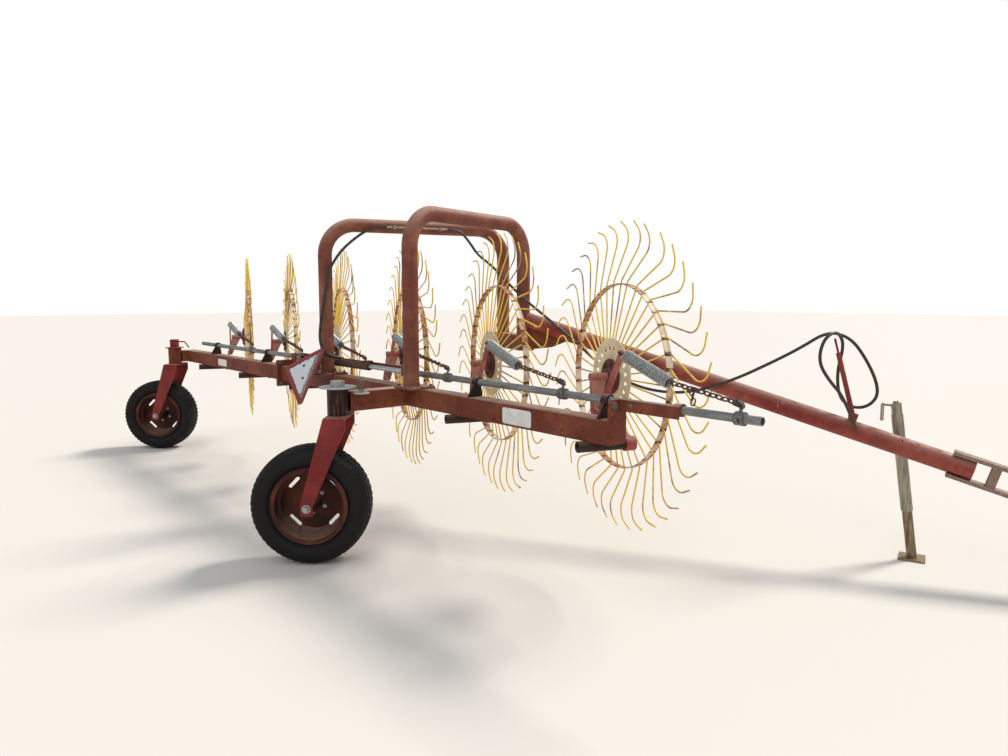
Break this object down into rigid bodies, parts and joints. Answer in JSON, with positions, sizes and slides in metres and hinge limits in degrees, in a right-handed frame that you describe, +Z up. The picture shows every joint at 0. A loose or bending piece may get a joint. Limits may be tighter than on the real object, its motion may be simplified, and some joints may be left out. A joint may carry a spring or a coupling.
{
  "type": "wheel rake",
  "caption": "Trailed side-delivery hay rake: a slanting row of tined finger wheels behind one beam, on casters, jack and arched tongue.",
  "frame": {"origin": "middle of the overall box, on the ground", "axes": "+X forward along the main beam towards its hitch end, +Y to the left towards the tongue, +Z up"},
  "size_m": [7.1671, 2.9992, 1.9344],
  "materials": {
    "caster_paint": "dull red paint",
    "chrome": "polished",
    "crank_paint": "faded red paint, worn",
    "frame_paint": "faded red-brown paint with rust",
    "galvanised": "weathered zinc",
    "hose_rubber": "satin",
    "jack_zinc": "weathered zinc",
    "road_rim": "cream paint, dusty",
    "rusty_steel": "bare steel, rusted",
    "sign_face": "faded, peeling",
    "spring_zinc": "zinc plated, dulled",
    "tongue_paint": "faded red paint",
    "tyre_rubber": "worn rubber",
    "wheel_paint": "cream and yellow paint, rusting"
  },
  "bodies": {
    "frame": {"arch_front": "frame_paint", "arch_rear": "frame_paint", "beam_front": "frame_paint", "beam_rear": "frame_paint", "crank_bushes": "crank_paint", "cylinder_anchor": "frame_paint", "cylinder_barrel": "frame_paint", "end_strap": "frame_paint", "hitch": "tongue_paint", "hose_clips": "galvanised", "hose_conduit": "galvanised", "hose_coupler": "galvanised", "hose_fitting": "galvanised", "hose_front": "hose_rubber", "hose_holder": "tongue_paint", "hose_rear": "hose_rubber", "jack_mount": "jack_zinc", "lift_guides": "rusty_steel", "outrigger_front": "caster_paint", "outrigger_rear": "caster_paint", "sign_bracket": "frame_paint", "sign_plate": "sign_face", "tongue": "tongue_paint", "tongue_root": "tongue_paint"},
    "lift": {"lift_pipe_front": "galvanised", "lift_pipe_rear": "galvanised", "lift_yoke": "rusty_steel", "lift_clamps": "rusty_steel", "cylinder_rod": "chrome"},
    "crank_1": {"crank_1": "crank_paint"},
    "hanger_1": {"hanger_1": "spring_zinc"},
    "rake_wheel_1": {"rake_wheel_1": "wheel_paint"},
    "crank_2": {"crank_2": "crank_paint"},
    "hanger_2": {"hanger_2": "spring_zinc"},
    "rake_wheel_2": {"rake_wheel_2": "wheel_paint"},
    "crank_3": {"crank_3": "crank_paint"},
    "hanger_3": {"hanger_3": "spring_zinc"},
    "rake_wheel_3": {"rake_wheel_3": "wheel_paint"},
    "crank_4": {"crank_4": "crank_paint"},
    "hanger_4": {"hanger_4": "spring_zinc"},
    "rake_wheel_4": {"rake_wheel_4": "wheel_paint"},
    "crank_5": {"crank_5": "crank_paint"},
    "hanger_5": {"hanger_5": "spring_zinc"},
    "rake_wheel_5": {"rake_wheel_5": "wheel_paint"},
    "crank_6": {"crank_6": "crank_paint"},
    "hanger_6": {"hanger_6": "spring_zinc"},
    "rake_wheel_6": {"rake_wheel_6": "wheel_paint"},
    "caster_front": {"caster_fork_front": "caster_paint"},
    "caster_wheel_front": {"caster_tyre_front": "tyre_rubber", "caster_rim_front": "road_rim"},
    "caster_rear": {"caster_fork_rear": "caster_paint"},
    "caster_wheel_rear": {"caster_tyre_rear": "tyre_rubber", "caster_rim_rear": "road_rim"},
    "jack": {"jack_tube": "jack_zinc", "jack_head": "jack_zinc"},
    "jack_inner": {"jack_leg": "jack_zinc"}
  },
  "joints": [
    {"name": "lift_slide", "type": "slide", "parent": "frame", "child": "lift", "axis": [-1, 0, 0], "range_m": [0, 0.176]},
    {"name": "crank_turn_1", "type": "hinge", "parent": "frame", "child": "crank_1", "pos_m": [2.23378, -0.61879, 0.79425], "axis": [-0.3289, -0.9444, 0], "range_deg": [0, 30.9]},
    {"name": "hanger_turn_1", "type": "hinge", "parent": "lift", "child": "hanger_1", "pos_m": [2.90876, -0.62017, 1.045], "axis": [-0.3064, -0.8448, -0.4387], "range_deg": [0, 9.78]},
    {"name": "rake_wheel_spin_1", "type": "hinge", "parent": "crank_1", "child": "rake_wheel_1", "pos_m": [1.90876, -0.13817, 1.035], "axis": [0.3289, 0.9444, 0], "continuous": true},
    {"name": "crank_turn_2", "type": "hinge", "parent": "frame", "child": "crank_2", "pos_m": [1.28008, -0.61879, 0.79425], "axis": [-0.3289, -0.9444, 0], "range_deg": [0, 30.9]},
    {"name": "hanger_turn_2", "type": "hinge", "parent": "lift", "child": "hanger_2", "pos_m": [2.00306, -0.62017, 1.045], "axis": [-0.2893, -0.85, -0.4402], "range_deg": [0, 9.23]},
    {"name": "rake_wheel_spin_2", "type": "hinge", "parent": "crank_2", "child": "rake_wheel_2", "pos_m": [0.95506, -0.13817, 1.035], "axis": [0.3289, 0.9444, 0], "continuous": true},
    {"name": "crank_turn_3", "type": "hinge", "parent": "frame", "child": "crank_3", "pos_m": [0.32638, -0.61879, 0.79425], "axis": [-0.3289, -0.9444, 0], "range_deg": [0, 30.9]},
    {"name": "hanger_turn_3", "type": "hinge", "parent": "lift", "child": "hanger_3", "pos_m": [1.12136, -0.62017, 1.045], "axis": [-0.2668, -0.8565, -0.4418], "range_deg": [0, 8.52]},
    {"name": "rake_wheel_spin_3", "type": "hinge", "parent": "crank_3", "child": "rake_wheel_3", "pos_m": [0.00136, -0.13817, 1.035], "axis": [0.3289, 0.9444, 0], "continuous": true},
    {"name": "crank_turn_4", "type": "hinge", "parent": "frame", "child": "crank_4", "pos_m": [-0.62733, -0.61879, 0.79425], "axis": [-0.3289, -0.9444, 0], "range_deg": [0, 30.9]},
    {"name": "hanger_turn_4", "type": "hinge", "parent": "lift", "child": "hanger_4", "pos_m": [0.23766, -0.62017, 1.045], "axis": [-0.2479, -0.8615, -0.443], "range_deg": [0, 7.92]},
    {"name": "rake_wheel_spin_4", "type": "hinge", "parent": "crank_4", "child": "rake_wheel_4", "pos_m": [-0.95234, -0.13817, 1.035], "axis": [0.3289, 0.9444, 0], "continuous": true},
    {"name": "crank_turn_5", "type": "hinge", "parent": "frame", "child": "crank_5", "pos_m": [-1.58102, -0.61879, 0.79425], "axis": [-0.3289, -0.9444, 0], "range_deg": [0, 30.9]},
    {"name": "hanger_turn_5", "type": "hinge", "parent": "lift", "child": "hanger_5", "pos_m": [-0.66604, -0.62017, 1.045], "axis": [-0.2359, -0.8646, -0.4437], "range_deg": [0, 7.54]},
    {"name": "rake_wheel_spin_5", "type": "hinge", "parent": "crank_5", "child": "rake_wheel_5", "pos_m": [-1.90604, -0.13817, 1.035], "axis": [0.3289, 0.9444, 0], "continuous": true},
    {"name": "crank_turn_6", "type": "hinge", "parent": "frame", "child": "crank_6", "pos_m": [-2.53472, -0.61879, 0.79425], "axis": [-0.3289, -0.9444, 0], "range_deg": [0, 30.9]},
    {"name": "hanger_turn_6", "type": "hinge", "parent": "lift", "child": "hanger_6", "pos_m": [-1.56974, -0.62017, 1.045], "axis": [-0.225, -0.8672, -0.4443], "range_deg": [0, 7.19]},
    {"name": "rake_wheel_spin_6", "type": "hinge", "parent": "crank_6", "child": "rake_wheel_6", "pos_m": [-2.85974, -0.13817, 1.035], "axis": [0.3289, 0.9444, 0], "continuous": true},
    {"name": "caster_swivel_front", "type": "hinge", "parent": "frame", "child": "caster_front", "pos_m": [0.77976, -1.09517, 0.945], "axis": [0, 0, 1], "continuous": true},
    {"name": "caster_wheel_spin_front", "type": "hinge", "parent": "caster_front", "child": "caster_wheel_front", "pos_m": [0.68334, -1.21008, 0.32], "axis": [-0.766, 0.6428, 0], "continuous": true},
    {"name": "caster_swivel_rear", "type": "hinge", "parent": "frame", "child": "caster_rear", "pos_m": [-3.01924, -0.79417, 0.945], "axis": [0, 0, 1], "continuous": true},
    {"name": "caster_wheel_spin_rear", "type": "hinge", "parent": "caster_rear", "child": "caster_wheel_rear", "pos_m": [-3.11566, -0.90907, 0.32], "axis": [-0.766, 0.6428, 0], "continuous": true},
    {"name": "jack_swing", "type": "hinge", "parent": "frame", "child": "jack", "pos_m": [2.68294, 1.28035, 0.64138], "axis": [-0.342, 0.9397, 0], "range_deg": [0, 113.7]},
    {"name": "jack_slide", "type": "slide", "parent": "jack", "child": "jack_inner", "axis": [-0.1308, -0.0476, 0.9903], "range_m": [0, 0.15]}
  ],
  "couplings": [
    {"joint": "crank_turn_1", "follows": "lift_slide", "rad_per_m": 3.0627},
    {"joint": "hanger_turn_1", "follows": "lift_slide", "rad_per_m": 0.9693},
    {"joint": "crank_turn_2", "follows": "lift_slide", "rad_per_m": 3.0627},
    {"joint": "hanger_turn_2", "follows": "lift_slide", "rad_per_m": 0.9153},
    {"joint": "crank_turn_3", "follows": "lift_slide", "rad_per_m": 3.0627},
    {"joint": "hanger_turn_3", "follows": "lift_slide", "rad_per_m": 0.84425},
    {"joint": "crank_turn_4", "follows": "lift_slide", "rad_per_m": 3.0627},
    {"joint": "hanger_turn_4", "follows": "lift_slide", "rad_per_m": 0.78465},
    {"joint": "crank_turn_5", "follows": "lift_slide", "rad_per_m": 3.0627},
    {"joint": "hanger_turn_5", "follows": "lift_slide", "rad_per_m": 0.74682},
    {"joint": "crank_turn_6", "follows": "lift_slide", "rad_per_m": 3.0627},
    {"joint": "hanger_turn_6", "follows": "lift_slide", "rad_per_m": 0.71236}
  ]
}
